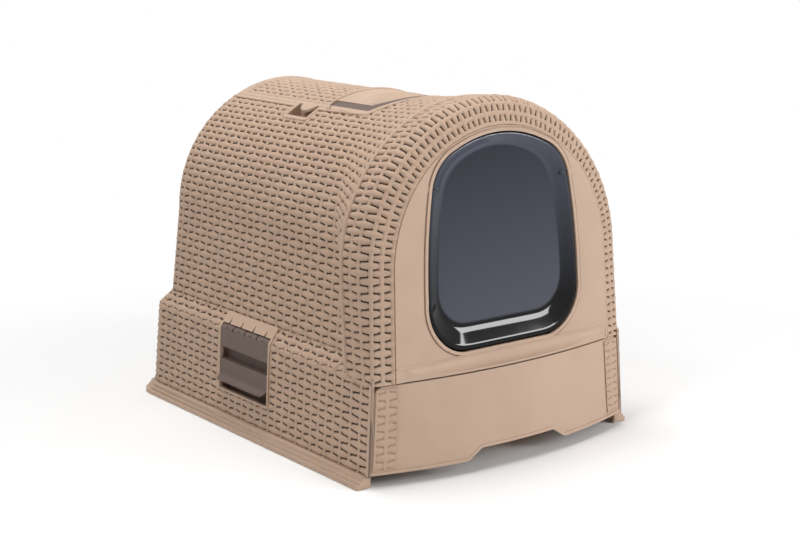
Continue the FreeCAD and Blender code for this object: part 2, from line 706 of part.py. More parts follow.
def front_ledge():
    """Crescent at the panel's foot: a lip that follows the drawer's bow, under a hollow as long as the panel."""
    half = mouth_half(lean_z) - panel_fit
    circle = (drawer_head_half ** 2 + drawer_head_bulge ** 2) / (2 * drawer_head_bulge)
    crown_y = drawer_y - drawer_head_bulge
    end_y = crown_y + circle - math.sqrt(circle ** 2 - half ** 2)

    def bowed(inset, z0, z1, back):
        reach, end, crown = half - inset, end_y + inset, crown_y + inset
        return prism(Part.Wire([
            arc(V(-reach, end, z0), V(0, crown, z0), V(reach, end, z0)),
            line(V(reach, end, z0), V(reach, back, z0)),
            line(V(reach, back, z0), V(-reach, back, z0)),
            line(V(-reach, back, z0), V(-reach, end, z0)),
        ]), V(0, 0, z1 - z0))

    def hollow(radius):
        return rod(V(-2 * half, fascia_y - ledge_cove, lean_z), V(1, 0, 0), 4 * half, radius)

    foot = block(-half, half, fascia_y, fascia_y + wall, ring_foot_z, lean_z)
    lip = bowed(0, ring_foot_z, lean_z, fascia_y + wall).cut(hollow(ledge_cove))
    room = bowed(wall, ring_foot_z - wall, lean_z, fascia_y + 3 * wall).cut(hollow(ledge_cove + wall))
    bead = rod(V(-half, fascia_y, lean_z), V(1, 0, 0), 2 * half, ledge_bead)
    return lip.fuse(foot).cut(room).fuse(bead)


def swing_door():
    back = door_plate(0, 0, thin_wall)
    dish_back = loft([door_wire(thin_wall, 0, 0, 0),
                      door_wire(door_dish + thin_wall, door_bevel_side, door_bevel_head, door_bevel_foot)])
    dish = loft([door_wire(-0.01, thin_wall, thin_wall, thin_wall),
                 door_wire(door_dish, door_bevel_side + 1, door_bevel_head + 1, door_bevel_foot + 1)])
    knuckle = rod(V(door_pivot_half - 3 * wall, door_pin_back, door_pivot_z), V(1, 0, 0), 3 * wall - seat_gap,
                  1.5 * door_pin_radius)
    knuckle = knuckle.common(block(0, door_half, 0, door_half, 0, 2 * door_pivot_z))
    pin = rod(V(door_pivot_half - wall, door_pin_back, door_pivot_z), V(1, 0, 0),
              wall + door_gap + door_pin_length, door_pin_radius)
    door = back.fuse(dish_back).cut(dish).multiFuse(both_sides(knuckle) + both_sides(pin))
    return to_front(door)


def side_clip():
    """The right-hand clip: four hinge fingers, a panel with a deep slot, and a lip that curls out."""
    def wall_face(z):
        return V(skirt_half(z) + clip_proud, 0, z)

    top = clip_axis + shoulder_normal * (clip_axis_depth + clip_proud)
    slope_foot = V(skirt_head_half, 0, skirt_head_z) + shoulder_normal * clip_proud
    bend = V(wall_face(slope_foot.z).x, 0, slope_foot.z)
    slot_head, slot_foot = wall_face(clip_slot_head_z), wall_face(clip_slot_foot_z)
    lip_start = wall_face(clip_lip_z)
    lip_end = V(lip_start.x + clip_lip_reach, 0, clip_foot_z)
    lip_middle = V(lip_start.x + 0.25 * clip_lip_reach, 0, clip_foot_z + 0.4 * (clip_lip_z - clip_foot_z))
    path = Part.Wire([
        line(top, bend),
        line(bend, slot_head),
        line(slot_head, V(clip_slot_x, 0, clip_slot_head_z)),
        line(V(clip_slot_x, 0, clip_slot_head_z), V(clip_slot_x, 0, clip_slot_foot_z)),
        line(V(clip_slot_x, 0, clip_slot_foot_z), slot_foot),
        line(slot_foot, lip_start),
        arc(lip_start, lip_middle, lip_end),
    ])
    section = path.makeOffset2D(-clip_thickness, 2, True, True)
    plate = section.translated(V(0, clip_y - clip_half, 0)).extrude(V(0, 2 * clip_half, 0))
    low, high = clip_y - clip_half, clip_y + clip_half
    shape = rounded([(low, clip_foot_z - wall, clip_foot_round), (high, clip_foot_z - wall, clip_foot_round),
                     (high, frame_head_z, 0), (low, frame_head_z, 0)], lambda a, b: V(0, a, b))
    plate = plate.common(prism(shape, V(far_x + clip_lip_reach, 0, 0)))
    barrel = rod(V(clip_axis.x, low, clip_axis.z), V(0, 1, 0), 2 * clip_half, clip_barrel_radius)
    clip = plate.fuse(barrel)
    pitch = 2 * clip_half / clip_fingers
    cuts = []
    for i in range(1, clip_fingers):
        y = low + i * pitch
        cuts.append(block(0, far_x, y - clip_finger_gap / 2, y + clip_finger_gap / 2,
                          skirt_head_z - clip_finger_gap, frame_head_z))
    pocket_foot = bend - shoulder_normal * clip_pocket_depth
    for y in finger_middles():
        pocket = wedge(V(pocket_foot.x, y, pocket_foot.z), clip_pocket_width, clip_axis_rise + clip_proud)
        cuts.append(pocket.extrude(shoulder_normal * (3 * clip_pocket_depth)))
    pin_reach = clip_side_gap + clip_pin_length
    pin = rod(V(clip_axis.x, low - pin_reach, clip_axis.z), V(0, 1, 0), 2 * (clip_half + pin_reach), clip_pin_radius)
    return clip.cut(cuts).fuse(pin)


def filter_lid():
    skin = arch_rod(arch_radius).cut(arch_rod(arch_radius - lid_thickness))
    return lid_plan(0, compartment_floor_z).common(skin)


def carbon_filter():
    half = lid_half - lid_ledge - filter_gap
    edge = lid_ledge + filter_gap
    wire = pan_wire(half, lid_front_y + edge, lid_rear_y - edge, edge, compartment_floor_z)
    return prism(wire, V(0, 0, filter_thickness))


def carry_handle():
    face = arch_radius - handle_flush
    bail = bail_plan(0, 0, compartment_floor_z).common(arch_rod(face).cut(arch_rod(face - handle_thickness)))
    pin = rod(V(handle_half - wall, handle_pivot_y, handle_pivot_z), V(1, 0, 0), wall + handle_pin_length,
              handle_pin_radius)
    return bail.multiFuse(both_sides(pin))


save(base(), "base_tray")
save(litter_drawer(), "litter_drawer")
save(hood(), "hood_shell")
save(front_panel(), "front_panel")
save(swing_door(), "swing_door")
save(side_clip(), "side_clip_right")
save(mirrored(side_clip()), "side_clip_left")
save(carry_handle(), "carry_handle")
save(filter_lid(), "filter_lid")
save(carbon_filter(), "carbon_filter")
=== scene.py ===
import math

import bmesh
import bpy
import numpy as np
from mathutils import Matrix, Vector


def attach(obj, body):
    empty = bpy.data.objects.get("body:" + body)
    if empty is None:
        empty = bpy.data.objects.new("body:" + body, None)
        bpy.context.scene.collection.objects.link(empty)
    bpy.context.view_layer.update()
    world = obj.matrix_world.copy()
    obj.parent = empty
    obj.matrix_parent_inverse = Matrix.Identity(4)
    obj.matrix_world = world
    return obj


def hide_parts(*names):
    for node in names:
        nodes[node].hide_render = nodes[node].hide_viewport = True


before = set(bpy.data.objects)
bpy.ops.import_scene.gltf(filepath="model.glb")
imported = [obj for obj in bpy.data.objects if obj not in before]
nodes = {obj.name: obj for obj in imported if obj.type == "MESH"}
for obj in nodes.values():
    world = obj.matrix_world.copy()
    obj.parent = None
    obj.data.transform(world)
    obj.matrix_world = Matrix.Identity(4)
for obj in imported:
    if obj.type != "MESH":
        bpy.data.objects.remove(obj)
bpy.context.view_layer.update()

MM = 0.001
WELD = 2e-6                       # metres: points of a CAD mesh that lie closer are one
SHARP = math.radians(17)          # edges that turn by more than this stay sharp
SIDES = ((-1, "left"), (1, "right"))

# Sizes in millimetres, after the part's source
front_y, rear_y = -225.0, 243.4
skirt_foot_half, skirt_head_half = 180.6, 174.0
skirt_foot_z, skirt_head_z = 12.8, 113.0
skirt_draft, skirt_slope = 6.6, 0.0659    # the skirt's lean in all, and for each millimetre of height
corner_round = 18.0
shoulder_in, shoulder_head_z = 12.5, 129.5
arch_radius, arch_centre_z, arch_foot_half = 150.0, 231.0, 163.3
arch_rise = arch_centre_z + arch_radius - skirt_head_z
arch_skin = arch_radius - 1.0             # what lies further out belongs to the outer face
arch_start_foot, arch_start_crown = front_y + 54.0, front_y + 138.0
rear_foot = rear_y - skirt_draft - shoulder_in
rear_lean, edge_round = 9.0, 14.0
fascia_y, lean_z, lean = -232.0, 124.0, math.radians(3.2)
ring_foot_z, ring_centre_z = 108.7, 217.0
ring_foot_half = 174.28 + 0.8             # 0.8 outside the solid's, so that the holes clear its inner wall
# Stations of the front ring: radius, half width at the foot, and distance behind the panel's plane
mouth = (145.5, 149.5, 0.0)
corner = (170.0, ring_foot_half, 8.5)
crest = (177.5, ring_foot_half, 22.5)
ring_back = (174.5, ring_foot_half, 54.5)
frame_y, frame_z = (-31.5, 75.5), (39.0, 131.0)
drawer_y = front_y + 0.5
drawer_foot_z, drawer_head_z = 14.0, 107.0
drawer_foot_half, drawer_head_half, drawer_slope = 176.52, 170.4, 0.0658
drawer_foot_bulge, drawer_bulge_loss = 30.0, 9.0
door_foot_z, door_head_z, door_half, door_widest_z = 129.0, 354.5, 103.0, 187.0
door_pivot_z, door_pivot_half, door_pin_back = 304.0, 92.6, 2.6
door_shoulder_half, door_shoulder_z, door_foot_half = 60.0, 341.0, 60.0
door_dish, door_wall = 7.0, 2.5
door_bevel = (19.0, 14.0, 29.0)           # width of the sloped rim at the sides, the head and the foot

# Smooth ground on the hood's top, in plan: the lid, the finger wells and the handle's bowed recess
pad_half, pad_front, pad_rear = 71.5, 3.5, 196.5
well_half, well_front, well_rear = 89.0, 17.0, 63.0
bail_half, bail_centre, bail_radius = 68.0, 39.2, 131.2
bow_x = np.linspace(-bail_half, bail_half, 13)
bow_y = bail_centre - np.sqrt(bail_radius ** 2 - bow_x ** 2)
top_z, crown_z = 300.0, 330.0             # the smooth ground lies above these heights
bail_y = (-110, 10)                       # faces near the handle's recess
lid_weave_half, lid_weave_front, lid_weave_rear = 62.5, 13.0, 187.0

# Zones of the hood's faces
face_gap = 0.4                            # a face this near to the skirt's outer form is part of it
ring_cover, ring_cover_z = 46.0, 110.0    # the ring covers the skirt this far back, above this height
rear_wall_y = 190.0                       # faces behind this that look back are the rear wall's
shoulder_y, shoulder_z = -178.0, 126.0    # behind and below these is the shoulder

# Weave: in each row, tapes pass over every second strand and round off towards their edges
tape_short, tape_least, tape_half = 1.6, 3.0, 0.44    # half width is a share of the row
tape_end, tape_edge = 3.2, 2.2                        # how square a tape's ends and edges are
# hole_start and hole_fade set where a hole sinks further and where its painted shade begins
tape_depth, hole_depth, hole_start, hole_fade = 2.0, 0.35, 0.93, 0.17
strand_half, strand_sunk, strand_depth, no_strand = 2.5, 0.35, 1.5, -3.0

# Rows and columns of the weave on each surface
arch_columns, arch_rows = 28, [0, 12, 40, 68, 80]
ring_rows, ring_columns = [11.5, 24.5, 57.5, 90.5, 103.5], (-0.15, 5)
skirt_columns, skirt_middle, skirt_side, skirt_corner = 89, 44.5, 31, 2
skirt_rows, shoulder_rows, skirt_start = 12, 2.5, 3.5
rear_column, rear_row, rear_columns, rear_rows = 14.4, 8.45, 10.6, 28.3
lid_columns, lid_column, lid_rows = 12, 14.5, 15
strip_foot, strip_row, strip_edge, strip_column = 5.5, 8.1, 1.5, 12.2
strip_columns, strip_rows = 2, 10.5

# Places of the grid lines within a column and a row
u_steps = np.array([-0.5, -0.38, -0.27, -0.2, -0.155, -0.1, 0.0, 0.1, 0.155, 0.2, 0.27, 0.38])
v_steps = np.array([0.0, 0.07, 0.14, 0.22, 0.36, 0.5, 0.64, 0.78, 0.86, 0.93])


def samples(low, high, steps):
    """Grid lines between low and high: the steps repeated at every whole number."""
    cells = np.arange(math.floor(low) - 1, math.ceil(high) + 2)
    lines = (cells[:, None] + steps[None, :]).ravel()
    lines = lines[(lines > low + 0.02) & (lines < high - 0.02)]
    return np.concatenate([[low], lines, [high]])


# Woven relief
def weave(c, r, p, q):
    """Depth of a plain weave with columns and rows p and q wide, and how far each point lies in a hole."""
    row = np.floor(r)
    low = np.floor(c)
    over = np.where((low + row) % 2 == 0, low, low + 1)
    along = np.abs(c - over) * p
    across = np.abs(r - row - 0.5) * q
    reach = np.maximum(p - tape_short, tape_least)
    t = (along / reach) ** tape_end + (across / (tape_half * q)) ** tape_edge
    inside = np.sqrt(np.clip(1 - t, 0, 1))
    bar = np.abs(c - np.round(c)) * p / strand_half
    strand = -strand_sunk - strand_depth * (1 - np.sqrt(np.clip(1 - bar * bar, 0, 1)))
    # How far into a hole: it sinks the tape and sets the painted shade in the holes
    hole = np.where(bar < 1, 0, np.clip((t - hole_start) / hole_fade, 0, 1))
    tape = np.where(t < 1, -tape_depth * (1 - inside), -tape_depth - hole_depth * hole)
    return np.maximum(tape, np.where(bar < 1, strand, no_strand)), hole


def placed(name, mesh, body, material, sharp=None):
    """A smooth-shaded object with a mesh, which rides on a body. sharp is the least turn of a sharp edge."""
    mesh.polygons.foreach_set("use_smooth", [True] * len(mesh.polygons))
    if sharp:
        mesh.set_sharp_from_angle(angle=sharp)
    mesh.materials.clear()
    mesh.materials.append(material)
    piece = bpy.data.objects.new(name, mesh)
    bpy.context.scene.collection.objects.link(piece)
    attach(piece, body)
    return piece


def mesh_piece(name, points, faces, body, material, attributes=None):
    """A piece from arrays of points in millimetres and faces."""
    sides = faces.shape[1]
    mesh = bpy.data.meshes.new(name)
    mesh.vertices.add(len(points))
    mesh.vertices.foreach_set("co", (points * MM).astype(np.float32).ravel())
    mesh.loops.add(faces.size)
    mesh.loops.foreach_set("vertex_index", faces.astype(np.int32).ravel())
    mesh.polygons.add(len(faces))
    mesh.polygons.foreach_set("loop_start", np.arange(0, faces.size, sides, dtype=np.int32))
    mesh.update(calc_edges=True)
    for key, values in (attributes or {}).items():
        layer = mesh.attributes.new(key, "FLOAT", "POINT")
        layer.data.foreach_set("value", values.astype(np.float32))
    return placed(name, mesh, body, material)


def grid_faces(rows, columns, shown=None):
    """Quads of a grid whose points run row by row, without the ones that are not shown."""
    index = np.arange(rows * columns).reshape(rows, columns)
    faces = np.stack([index[:-1, :-1], index[:-1, 1:], index[1:, 1:], index[1:, :-1]], -1)
    faces = faces.reshape(-1, 4)
    if shown is not None:
        faces = faces[shown.ravel()[faces].any(axis=1)]
    return faces


def sheet_points(surface, c, r, relief, sink):
    """A surface's grid points, the same points with the weave's depth, and how far each lies in a hole."""
    grid_c, grid_r = np.meshgrid(c, r, indexing="ij")
    step = 0.02
    safe_c = np.clip(grid_c, c[0] + step, c[-1] - step)
    safe_r = np.clip(grid_r, r[0] + step, r[-1] - step)
    along = (surface(safe_c + step, safe_r) - surface(safe_c - step, safe_r)) / (2 * step)
    across = (surface(safe_c, safe_r + step) - surface(safe_c, safe_r - step)) / (2 * step)
    normal = np.cross(across, along)
    normal /= np.linalg.norm(normal, axis=-1, keepdims=True)
    column, row = np.linalg.norm(along, axis=-1), np.linalg.norm(across, axis=-1)
    depth, hole = weave(grid_c, grid_r, column, row)
    flat = surface(grid_c, grid_r)
    return flat, flat + normal * (relief * depth - sink)[..., None], hole


def woven(name, surface, c_range, r_range, body, keep=None, relief=1.0, sink=0.15, shade=1.0):
    """A woven sheet over a surface. keep says which points it covers, shade how dark the painted shade in
    its holes is.
    """
    c, r = samples(*c_range, u_steps), samples(*r_range, v_steps)
    flat, points, hole = sheet_points(surface, c, r, relief, sink)
    faces = grid_faces(len(c), len(r), keep(flat) if keep else None)
    used, faces = np.unique(faces, return_inverse=True)
    points, hole = points.reshape(-1, 3)[used], hole.ravel()[used]
    # The holes' share, scaled, goes to the material, which paints shade into the holes
    mesh_piece(name, points, faces.reshape(-1, 4), body, tan_weave, {"painted_hole_shade": shade * hole})


# Surfaces of the hood
def outline(v, foot_half, foot_z, radius, centre_z):
    """Point of an arch outline: v is 0 to 1 up the left side, to 3 over the arch, to 4 down the right."""
    left, right = np.clip(v, 0, 1), np.clip(4 - v, 0, 1)
    angle = math.pi - (np.clip(v, 1, 3) - 1) * math.pi / 2
    side = np.where(v < 2, left, right)
    straight = (v < 1) | (v > 3)
    flank = np.sign(v - 2) * (foot_half + (radius - foot_half) * side)
    x = np.where(straight, flank, radius * np.cos(angle))
    z = np.where(straight, foot_z + (centre_z - foot_z) * side, centre_z + radius * np.sin(angle))
    return x, z


def leaned(back, rise):
    """y and z of a place behind the panel's leaning plane, at a rise along it."""
    return (fascia_y + back * math.cos(lean) + rise * math.sin(lean),
            lean_z - back * math.sin(lean) + rise * math.cos(lean))


def ring_point(v, station):
    """Point of the front ring at one of its stations."""
    radius, foot_half, back = station
    x, z = outline(v, foot_half, ring_foot_z, radius, ring_centre_z)
    return np.stack([x, *leaned(back, z - lean_z)], -1)


def arch_point(v, inset, y_foot, y_crown):
    """Point of the arch, drawn in by an inset, in a plane that leans from one y at its foot to another."""
    x, z = outline(v, arch_foot_half - inset, skirt_head_z, arch_radius - inset, arch_centre_z)
    slope = (y_crown - y_foot) / arch_rise
    return np.stack([x, y_foot + slope * (z - skirt_head_z), z], -1)


def rear_point(v, ahead, inset):
    """Point of the arch ahead of the rear wall."""
    return arch_point(v, inset, rear_foot - ahead, rear_foot - ahead - rear_lean)


def lengths(path):
    return [np.linalg.norm(b - a, axis=-1) for a, b in zip(path, path[1:])]


bend_ease = 5.0


def follow(path, distance):
    """Point at a distance along a path of points, with its bends eased."""
    spans = lengths(path)
    total = sum(spans)
    ease = np.clip(np.minimum(distance, total - distance) / bend_ease, 0, 1)
    mean, shifts = 0, np.linspace(-bend_ease, bend_ease, 5)
    for shift in shifts:
        here = distance + shift * ease
        point, start = path[0], 0
        for a, b, span in zip(path, path[1:], spans):
            share = np.clip((here - start) / span, 0, 1)[..., None]
            point = np.where((here >= start)[..., None], a + (b - a) * share, point)
            start = start + span
        mean = mean + point / len(shifts)
    return mean


def ring_v(r):
    return np.interp(r, ring_rows, [0, 1, 2, 3, 4])


def ring_surface(c, r):
    """Two columns on the ring's front band, then three over its crest to its back."""
    v = ring_v(r)
    path = [ring_point(v, s) for s in (mouth, corner, crest, ring_back)]
    spans = lengths(path)
    band = np.interp(c, [-0.2, 0, 1, 2], [0, 0.077, 0.52, 1]) * spans[0]
    return follow(path, np.where(c < 2, band, spans[0] + (c - 2) / 3 * (spans[1] + spans[2])))


arch_first = (shoulder_head_z - skirt_head_z) / (arch_centre_z - skirt_head_z)


def arch_v(r):
    return np.interp(r, arch_rows, [arch_first, 1, 2, 3, 4 - arch_first])


def arch_path(v):
    """The hood's line from the ring to the rounded edge of the rear wall."""
    return [ring_point(v, ring_back), arch_point(v, 0, arch_start_foot, arch_start_crown),
            rear_point(v, edge_round, 0), rear_point(v, 0.3 * edge_round, 0.3 * edge_round),
            rear_point(v, 0, edge_round)]


def arch_surface(c, r):
    path = arch_path(arch_v(r))
    total = sum(lengths(path))
    return follow(path, c / arch_columns * total)


def skirt_level(r):
    """Half width, rear and height of a row: first the skirt's, then the shoulder's."""
    share, step = np.clip(r / skirt_rows, 0, 1), np.clip((r - skirt_rows) / shoulder_rows, 0, 1)
    drop = share * (skirt_foot_half - skirt_head_half) + step * shoulder_in
    z = skirt_foot_z + share * (skirt_head_z - skirt_foot_z) + step * (shoulder_head_z - skirt_head_z)
    return skirt_foot_half - drop, rear_y - drop, z


def skirt_surface(c, r):
    """Columns run along the left side, round the rear, and back along the right side."""
    half, rear, z = skirt_level(r)
    side, rear_side = np.minimum(c, skirt_columns - c), skirt_side + skirt_corner
    y = np.interp(side, [0, 3, skirt_side], [0, 0.115, 1])
    y = front_y + skirt_start + y * (rear - corner_round - front_y - skirt_start)
    turn = np.clip((side - skirt_side) / skirt_corner, 0, 1) * math.pi / 2
    x = half - corner_round + corner_round * np.cos(turn)
    across = (half - corner_round) * (skirt_middle - side) / (skirt_middle - rear_side)
    x = np.where(side > rear_side, across, x)
    y = np.where(side > skirt_side, rear - corner_round + corner_round * np.sin(turn), y)
    return np.stack([np.where(c < skirt_middle, -x, x), y, z], -1)


def rear_surface(c, r):
    x, z = c * rear_column, shoulder_head_z + r * rear_row
    return np.stack([x, rear_foot - rear_lean * (z - skirt_head_z) / arch_rise, z], -1)


def lid_surface(c, r):
    angle = np.interp(r, [0, lid_rows], [-1, 1]) * math.asin(lid_weave_half / arch_radius)
    y = lid_weave_front + c * lid_column
    return np.stack([arch_radius * np.sin(angle), y, arch_centre_z + arch_radius * np.cos(angle)], -1)


def drawer_face(x, z):
    """The drawer's bowed front: y at a place across and up it."""
    share = (z - drawer_foot_z) / (drawer_head_z - drawer_foot_z)
    half = drawer_foot_half + share * (drawer_head_half - drawer_foot_half)
    bulge = drawer_foot_bulge - drawer_bulge_loss * share
    radius = (half ** 2 + bulge ** 2) / (2 * bulge)
    return drawer_y - bulge + radius - np.sqrt(radius ** 2 - x ** 2)


def drawer_strip(side):
    """The surface of the woven strip at one end of the drawer's front."""
    def surface(c, r):
        z = drawer_foot_z + strip_foot + r * strip_row
        edge = drawer_foot_half - (z - drawer_foot_z) * drawer_slope
        x = side * (edge - strip_edge - (c if side > 0 else strip_columns - c) * strip_column)
        return np.stack([x, drawer_face(x, z), z], -1)
    return surface


# Where the woven sheets stop
def on_pad(x, y, grow):
    """Whether a place in plan lies on the smooth ground, grown by a margin."""
    lid = (np.abs(x) < pad_half + grow) & (y > pad_front - grow) & (y < pad_rear + grow)
    wells = (np.abs(x) < well_half + grow) & (y > well_front - grow) & (y < well_rear + grow)
    bail = (np.abs(x) < bail_half + grow) & (y > np.interp(x, bow_x, bow_y) - grow) & (y < pad_front + 0.5)
    return lid | wells | bail


def in_frame(y, z, grow):
    """Whether a place on the skirt lies in a clip's frame, grown by a margin."""
    along = (y > frame_y[0] - grow) & (y < frame_y[1] + grow)
    return along & (z > frame_z[0] - grow) & (z < frame_z[1] + grow)


def keep_arch(p):
    return ~((p[..., 2] > top_z) & on_pad(p[..., 0], p[..., 1], -1.0))


def keep_skirt(p):
    x, y, z = p[..., 0], p[..., 1], p[..., 2]
    ring_zone = (z > ring_cover_z) & (y < front_y + ring_cover + 3.0)
    return ~((np.abs(x) > 140) & in_frame(y, z, -1.2)) & ~ring_zone


def keep_rear(p):
    x, z = np.abs(p[..., 0]), p[..., 2]
    inner = arch_radius - edge_round - 0.5
    arch = np.hypot(x, z - arch_centre_z) < inner
    slope = (arch_foot_half - arch_radius) / (arch_centre_z - skirt_head_z)
    return np.where(z > arch_centre_z, arch, x < inner + slope * (arch_centre_z - z))


# Materials
def tree_of(name):
    material = bpy.data.materials.new(name)
    material.use_nodes = True
    tree = material.node_tree
    return material, tree, tree.nodes["Principled BSDF"]


def add(tree, kind, **inputs):
    node = tree.nodes.new(kind)
    for key, value in inputs.items():
        node.inputs[key].default_value = value
    return node


def noise(tree, scale, detail=2.0):
    place = tree.nodes.new("ShaderNodeTexCoord")
    texture = add(tree, "ShaderNodeTexNoise", Scale=scale, Detail=detail)
    tree.links.new(place.outputs["Object"], texture.inputs["Vector"])
    return texture.outputs["Fac"]


def ramp(tree, source, low, high, start=0.3, end=0.7):
    node = tree.nodes.new("ShaderNodeValToRGB")
    node.color_ramp.elements[0].position = start
    node.color_ramp.elements[0].color = (*low, 1)
    node.color_ramp.elements[1].position = end
    node.color_ramp.elements[1].color = (*high, 1)
    tree.links.new(source, node.inputs["Fac"])
    return node.outputs["Color"]


def spread(tree, source, low, high):
    node = add(tree, "ShaderNodeMapRange")
    node.inputs["To Min"].default_value = low
    node.inputs["To Max"].default_value = high
    tree.links.new(source, node.inputs["Value"])
    return node.outputs["Result"]


def mix(tree, factor, first, second):
    node = tree.nodes.new("ShaderNodeMix")
    node.data_type = "RGBA"
    tree.links.new(factor, node.inputs[0])
    for socket, value in ((node.inputs[6], first), (node.inputs[7], second)):
        if isinstance(value, tuple):
            socket.default_value = (*value, 1)
        else:
            tree.links.new(value, socket)
    return node.outputs[2]


def grain(tree, shader, scale, strength, distance):
    bump = add(tree, "ShaderNodeBump", Strength=strength, Distance=distance)
    tree.links.new(noise(tree, scale), bump.inputs["Height"])
    tree.links.new(bump.outputs["Normal"], shader.inputs["Normal"])


def plastic(name, dark, light, rough=(0.5, 0.62), specular=0.35, hole=None, strength=0.25):
    """Moulded plastic: slight colour drift, a fine grain, and painted shade in the holes where a sheet has
    them; hole is the colour of that painted shade.
    """
    material, tree, shader = tree_of(name)
    colour = ramp(tree, noise(tree, 22.0, 4.0), dark, light)
    # painted shade: the holes of a woven sheet take a dark colour where the real weave lies in shade
    if hole:
        depth = tree.nodes.new("ShaderNodeAttribute")
        depth.attribute_name = "painted_hole_shade"
        colour = mix(tree, depth.outputs["Fac"], colour, hole)
    tree.links.new(colour, shader.inputs["Base Color"])
    tree.links.new(spread(tree, noise(tree, 140.0), *rough), shader.inputs["Roughness"])
    shader.inputs["Specular IOR Level"].default_value = specular
    grain(tree, shader, 1400.0, strength, 0.0004)
    return material


# The near-black hole colour is the painted shade of the weave's holes
tan_weave = plastic("tan_weave", (0.446, 0.313, 0.229), (0.475, 0.337, 0.247), specular=0.2,
                    hole=(0.014, 0.006, 0.002))
tan_smooth = plastic("tan_smooth", (0.453, 0.322, 0.236), (0.481, 0.345, 0.255), strength=0.15)
clip_brown = plastic("clip_brown", (0.135, 0.098, 0.083), (0.15, 0.11, 0.093), specular=0.2, strength=0.15)
handle_brown = plastic("handle_brown", (0.13, 0.093, 0.08), (0.145, 0.104, 0.09), specular=0.15,
                       strength=0.15)


def smoked():
    """Glossy smoked plastic with painted reflection: a pane that is paler towards its foot, in a rim that is
    black at its foot and paler towards its head.
    """
    material, tree, shader = tree_of("smoked_door")
    place = tree.nodes.new("ShaderNodeTexCoord")
    split = tree.nodes.new("ShaderNodeSeparateXYZ")
    tree.links.new(place.outputs["Object"], split.inputs["Vector"])
    height = add(tree, "ShaderNodeMapRange")
    height.inputs["From Min"].default_value, height.inputs["From Max"].default_value = 0.15, 0.34
    tree.links.new(split.outputs["Z"], height.inputs["Value"])
    # painted reflection: the pane is paler towards its foot, where the real door reflects the room
    pane = ramp(tree, height.outputs["Result"], (0.07, 0.074, 0.096), (0.024, 0.026, 0.038), 0.0, 1.0)
    # painted reflection: the rim is paler towards its head, where the real rim reflects the room, and black
    # at its foot
    rim = ramp(tree, height.outputs["Result"], (0.001, 0.001, 0.0015), (0.062, 0.069, 0.093), 0.1, 1.0)
    inside = tree.nodes.new("ShaderNodeAttribute")
    inside.attribute_name = "pane"
    colour = mix(tree, inside.outputs["Fac"], rim, pane)
    tree.links.new(colour, shader.inputs["Base Color"])
    tree.links.new(spread(tree, noise(tree, 60.0), 0.05, 0.08), shader.inputs["Roughness"])
    shader.inputs["Specular IOR Level"].default_value = 0.22
    return material


def foam():
    """Matt black foam with open cells."""
    material, tree, shader = tree_of("carbon_pad")
    cells = add(tree, "ShaderNodeTexVoronoi", Scale=700.0)
    place = tree.nodes.new("ShaderNodeTexCoord")
    tree.links.new(place.outputs["Object"], cells.inputs["Vector"])
    colour = ramp(tree, cells.outputs["Distance"], (0.004, 0.004, 0.004), (0.02, 0.02, 0.021), 0.1, 0.6)
    tree.links.new(colour, shader.inputs["Base Color"])
    bump = add(tree, "ShaderNodeBump", Strength=0.6, Distance=0.0008)
    tree.links.new(cells.outputs["Distance"], bump.inputs["Height"])
    tree.links.new(bump.outputs["Normal"], shader.inputs["Normal"])
    shader.inputs["Roughness"].default_value = 0.95
    return material


smoked_door, carbon_pad = smoked(), foam()
finish = {"litter_drawer": tan_smooth, "front_panel": tan_smooth, "side_clip_left": clip_brown,
          "side_clip_right": clip_brown, "carry_handle": handle_brown}
for name, material in finish.items():
    nodes[name].data.materials.clear()
    nodes[name].data.materials.append(material)


# Smooth parts of the nodes that are woven or cut
def welded(node):
    """A node's mesh to work on, with points that coincide made one."""
    work = bmesh.new()
    work.from_mesh(nodes[node].data)
    bmesh.ops.remove_doubles(work, verts=work.verts, dist=WELD)
    return work


def new_mesh(name, work):
    """A mesh from the work, which is then freed."""
    mesh = bpy.data.meshes.new(name)
    work.to_mesh(mesh)
    work.free()
    return mesh


def stripped(node, name, body, planes, woven_face, edge=3.0):
    """A copy of a node without the faces that a woven sheet covers, and with its cut edges turned in."""
    work = welded(node)
    for point, normal, near in planes:
        faces = [f for f in work.faces if near(f.calc_center_median() / MM)]
        around = dict.fromkeys(faces)
        for f in faces:
            around.update(dict.fromkeys([*f.edges, *f.verts]))
        bmesh.ops.bisect_plane(work, geom=list(around), dist=1e-7, plane_co=Vector(point) * MM,
                               plane_no=normal)
    work.normal_update()
    gone = dict.fromkeys(f for f in work.faces if woven_face(f.calc_center_median() / MM, f.normal))
    turned, rims = {}, []
    for f in gone:
        for e in f.edges:
            if any(g not in gone for g in e.link_faces):
                rims.append((e.verts[0], e.verts[1]))
                for v in e.verts:
                    turned[v] = turned.get(v, Vector()) + f.normal
    inner = {v: work.verts.new(v.co - n.normalized() * edge * MM) for v, n in turned.items()}
    for a, b in rims:
        work.faces.new((a, b, inner[b], inner[a]))
    bmesh.ops.delete(work, geom=list(gone), context="FACES")
    bmesh.ops.recalc_face_normals(work, faces=work.faces)
    piece = placed(name, new_mesh(name, work), body, tan_smooth, SHARP)
    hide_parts(node)


def on_crown(p):
    return p.z > crown_z and math.hypot(p.x, p.z - arch_centre_z) > arch_skin


def by_bail(p):
    return on_crown(p) and bail_y[0] < p.y < bail_y[1]


def hood_planes():
    """Planes along the edges of the smooth ground on the hood's top, and the faces that each one cuts."""
    across, along = (1, 0, 0), (0, 1, 0)
    halves = (bail_half, pad_half, well_half)
    cuts = [((x, 0, 0), across, on_crown) for x in sorted([-h for h in halves] + list(halves))]
    cuts += [((0, y, 0), along, on_crown) for y in (pad_front, well_front, well_rear, pad_rear)]
    for x0, x1, y0, y1 in zip(bow_x, bow_x[1:], bow_y, bow_y[1:]):
        cuts.append(((x0, y0, 0), Vector((y1 - y0, x0 - x1, 0)).normalized(), by_bail))
    return cuts


